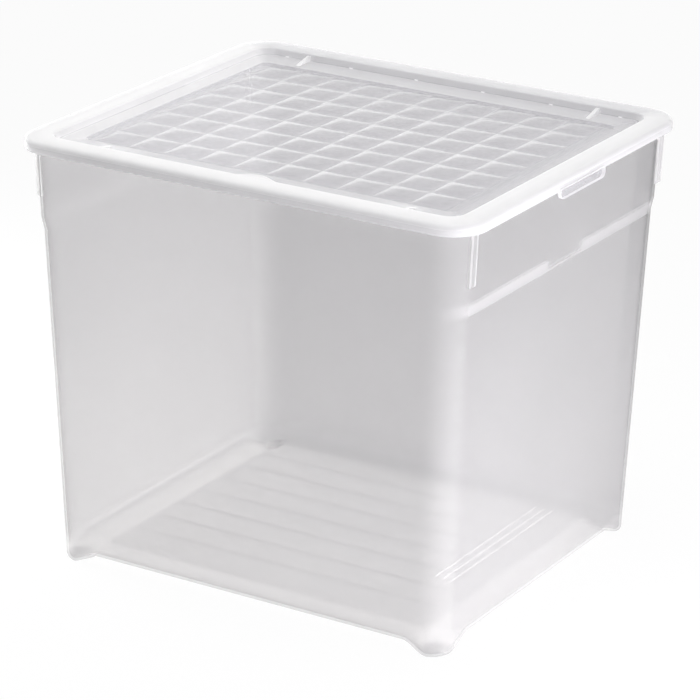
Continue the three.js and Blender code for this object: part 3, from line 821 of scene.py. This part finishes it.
def clear_plastic(name, colour, tint, slant_tint, haze, haze_and_light_gain, roughness, gloss_rise):
    """Clear polypropylene: light passes, tinted, or scatters in a haze that is denser where the
    mesh's haze and painted light value is high, and the surface mirrors more at a slant. A value
    below 0 dims what passes towards a grey, as painted shade, and values raised by side or by place
    are painted light."""
    material, add = shader_tree(name)
    place = add("ShaderNodeTexCoord").outputs["Object"]
    clouds = {"Vector": place, "Scale": CLOUD_SCALE, "Detail": CLOUD_DETAIL}
    cloud = add("ShaderNodeTexNoise", clouds).outputs["Fac"]
    grains = {"Vector": place, "Scale": GRAIN_SCALE, "Detail": GRAIN_DETAIL}
    grain = add("ShaderNodeTexNoise", grains).outputs["Fac"]
    bumps = {"Height": grain, "Strength": GRAIN_STRENGTH, "Distance": GRAIN_DEPTH}
    bump = add("ShaderNodeBump", bumps).outputs["Normal"]
    facing = add("ShaderNodeLayerWeight", {"Blend": FACING_BLEND}).outputs["Facing"]
    haze_and_painted_light = add("ShaderNodeAttribute", attribute_name="haze_and_painted_light").outputs["Fac"]

    # How much of the surface is haze
    slant = math_node(add, "POWER", facing, EDGE_POWER)
    height = add("ShaderNodeSeparateXYZ", {0: place}).outputs["Z"]
    lowest = {"Value": height, 1: FLOOR_SHEER * MM, 2: FLOOR_TOP * MM}
    floor = add("ShaderNodeMapRange", lowest).outputs[0]
    hazes = {"Value": cloud, 3: haze - HAZE_SPREAD, 4: haze + HAZE_SPREAD}
    even = add("ShaderNodeMapRange", hazes).outputs[0]
    sheer = math_node(add, "MULTIPLY_ADD", floor, -FLOOR_HAZE_CUT, even)
    edged = math_node(add, "MULTIPLY_ADD", slant, EDGE_HAZE, sheer)
    share = math_node(add, "MULTIPLY_ADD", haze_and_painted_light, haze_and_light_gain, edged, clamp=True)

    # The haze scatters light to the front and through
    shade = [MOTTLE * c for c in colour[:3]] + [1.0]
    mottled = mixed_colour(add, cloud, colour, shade)
    front = add("ShaderNodeBsdfDiffuse", {"Color": mottled}).outputs[0]
    through = add("ShaderNodeBsdfTranslucent", {"Color": mottled}).outputs[0]
    scatter = mixed_shader(add, THROUGH_SHARE, front, through)

    # The clear share tints what passes, more at a slant and less in the floor
    walled = math_node(add, "MULTIPLY_ADD", floor, -FLOOR_DEPTH_CUT, 1.0)
    crossed = math_node(add, "POWER", facing, DEPTH_POWER)
    depth = math_node(add, "MULTIPLY", crossed, walled)
    longer = [slant_tint * c for c in tint[:3]] + [1.0]
    passed = mixed_colour(add, depth, tint, longer)
    # Painted shade: a value below 0 dims what passes towards the painted shade grey
    shade_share = math_node(add, "MULTIPLY", haze_and_painted_light, -1.0, clamp=True)
    shaded_pass = mixed_colour(add, shade_share, passed, PAINTED_SHADE_COLOUR)
    clear = add("ShaderNodeBsdfTransparent", {"Color": shaded_pass}).outputs[0]
    body = mixed_shader(add, share, clear, scatter)

    # Gloss over both
    dulls = {"Value": cloud, 3: roughness - ROUGHNESS_SPREAD, 4: roughness + ROUGHNESS_SPREAD}
    dull = add("ShaderNodeMapRange", dulls).outputs[0]
    glossy = {"Color": WHITE, "Roughness": dull, "Normal": bump}
    gloss = add("ShaderNodeBsdfAnisotropic", glossy).outputs[0]
    steep = math_node(add, "POWER", facing, GLOSS_POWER)
    mirror = math_node(add, "MULTIPLY_ADD", steep, gloss_rise, FACE_ON_GLOSS)
    surface = mixed_shader(add, mirror, body, gloss)
    add("ShaderNodeOutputMaterial", {"Surface": surface})
    return material


def dress(piece, material, node, body):
    """Gives a moulding its plastic and lets it stand for its CAD node."""
    piece.data.materials.clear()
    piece.data.materials.append(material)
    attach(piece, body)
    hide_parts(node)


tub_plastic = clear_plastic(
    "tub_clear", (0.9, 0.9, 0.9, 1.0), (0.867, 0.863, 0.867, 1.0), slant_tint=0.68,
    haze=0.13, haze_and_light_gain=0.5, roughness=0.22, gloss_rise=0.18)
lid_plastic = clear_plastic(
    "lid_clear", (0.94, 0.94, 0.94, 1.0), (0.838, 0.835, 0.855, 1.0), slant_tint=0.92,
    haze=0.12, haze_and_light_gain=0.8, roughness=0.18, gloss_rise=0.9)
tub = united(tub_shell(), [*guide_ribs(), *floor_ribs()])
lid = united(lid_shell(), [pillow_panel(), *pull_tabs(), *recess_features()])
dress(tub, tub_plastic, "box_tub", "tub")
dress(lid, lid_plastic, "lid", "lid")


# Stage

def background_share(add):
    """1 for rays that should see the plain white surroundings: sight, mirroring and see-through."""
    path = add("ShaderNodeLightPath").outputs
    seen = math_node(add, "MAXIMUM", path["Is Camera Ray"], path["Is Glossy Ray"])
    return math_node(add, "MAXIMUM", seen, path["Is Transmission Ray"])


def build_floor():
    """A pale plain floor that shows white and keeps a part of the object's shadow."""
    side = STAGE_SIDE
    points = [(-side, -side, 0), (side, -side, 0), (side, side, 0), (-side, side, 0)]
    mesh = bpy.data.meshes.new("floor")
    mesh.from_pydata((np.array(points) * MM).tolist(), [], [(0, 1, 2, 3)])
    floor = bpy.data.objects.new("floor", mesh)
    bpy.context.scene.collection.objects.link(floor)
    material, add = shader_tree("floor_white")
    share = background_share(add)
    kept = math_node(add, "MULTIPLY", share, STAGE_WHITE_SHARE)
    lit = add("ShaderNodeBsdfDiffuse", {"Color": STAGE_GREY}).outputs[0]
    white = add("ShaderNodeEmission", {"Color": WHITE, "Strength": 1.0}).outputs[0]
    surface = mixed_shader(add, kept, lit, white)
    add("ShaderNodeOutputMaterial", {"Surface": surface})
    mesh.materials.append(material)


def build_world():
    """White to the eye, and a soft even light on the object."""
    world = bpy.data.worlds.new("studio")
    bpy.context.scene.world = world
    world.use_nodes = True
    add = node_adder(world.node_tree)
    share = background_share(add)
    soft = {"Color": AMBIENT_COLOUR, "Strength": AMBIENT}
    ambient = add("ShaderNodeBackground", soft).outputs[0]
    white = add("ShaderNodeBackground", {"Color": WHITE, "Strength": 1.0}).outputs[0]
    surface = mixed_shader(add, share, ambient, white)
    add("ShaderNodeOutputWorld", {"Surface": surface})


def softbox(name, place, aim, size, watts, colour=(1.0, 1.0, 1.0), mirrored=False):
    """A large soft lamp at a place in metres, turned to a point."""
    lamp = bpy.data.lights.new(name, "AREA")
    lamp.shape = "RECTANGLE"
    lamp.size, lamp.size_y = size
    lamp.energy = watts
    lamp.color = colour
    holder = bpy.data.objects.new(name, lamp)
    bpy.context.scene.collection.objects.link(holder)
    holder.location = place
    holder.rotation_mode = "QUATERNION"
    holder.rotation_quaternion = (Vector(aim) - Vector(place)).to_track_quat("-Z", "Y")
    holder.visible_camera = False
    holder.visible_glossy = mirrored


def build_camera():
    """The photograph's own view."""
    data = bpy.data.cameras.new("camera")
    data.sensor_width = SENSOR
    data.lens = SENSOR * FOCAL_PIXELS / IMAGE_SIDE
    data.shift_x = 0.5 - CENTRE_PIXEL[0] / IMAGE_SIDE
    data.shift_y = CENTRE_PIXEL[1] / IMAGE_SIDE - 0.5
    data.clip_end = CAMERA_REACH
    camera = bpy.data.objects.new("camera", data)
    bpy.context.scene.collection.objects.link(camera)
    level = math.cos(CAMERA_ELEVATION)
    round_x, round_y = math.cos(CAMERA_AZIMUTH), math.sin(CAMERA_AZIMUTH)
    back = Vector((round_y * level, -round_x * level, math.sin(CAMERA_ELEVATION)))
    right = Vector((round_x, round_y, 0.0))
    up = back.cross(right)
    rolled_right = right * math.cos(CAMERA_ROLL) + up * math.sin(CAMERA_ROLL)
    rolled_up = up * math.cos(CAMERA_ROLL) - right * math.sin(CAMERA_ROLL)
    turn = Matrix((rolled_right, rolled_up, back)).transposed()
    place = CAMERA_TARGET + back * CAMERA_DISTANCE
    camera.matrix_world = Matrix.Translation(place) @ turn.to_4x4()
    bpy.context.scene.camera = camera


build_floor()
build_world()
softbox("overhead", (0.1, 0.0, 1.7), (0.0, 0.0, 0.3), (1.2, 1.2), 19.3)
softbox("back_strip", (-1.15, 1.9, 0.46), (0.0, 0.0, 0.34), (2.6, 0.7), 3.4, mirrored=True)
softbox("left_low", (-0.46, 0.0, 0.05), (0.0, 0.0, 0.08), (0.4, 0.16), 1.9, WARM)
softbox("left_mid", (-0.9, 0.0, 0.2), (0.0, 0.0, 0.15), (0.4, 0.3), 10.0)
softbox("left_high", (-0.46, 0.0, 0.56), (-0.15, 0.0, 0.33), (0.4, 0.2), 0.3)
softbox("right_low", (0.52, -0.15, 0.06), (0.0, -0.1, 0.08), (0.4, 0.16), 3.2, COOL)
softbox("right_high", (1.4, -0.4, 1.0), (0.0, 0.0, 0.3), (0.6, 0.6), 2.2, COOL)
softbox("right_back", (0.52, 0.22, 0.06), (0.0, 0.1, 0.08), (0.3, 0.16), 0.4, COOL)
softbox("near_corner", (0.62, -0.55, 0.24), (0.17, -0.15, 0.2), (0.3, 0.3), 1.3, COOL)
softbox("below", (0.0, -0.01, 0.004), (0.0, -0.01, 1.0), (0.35, 0.27), 1.05, WARM)
build_camera()
bpy.context.scene.view_settings.view_transform = "Standard"
bpy.context.scene.cycles.transparent_max_bounces = CLEAR_BOUNCES
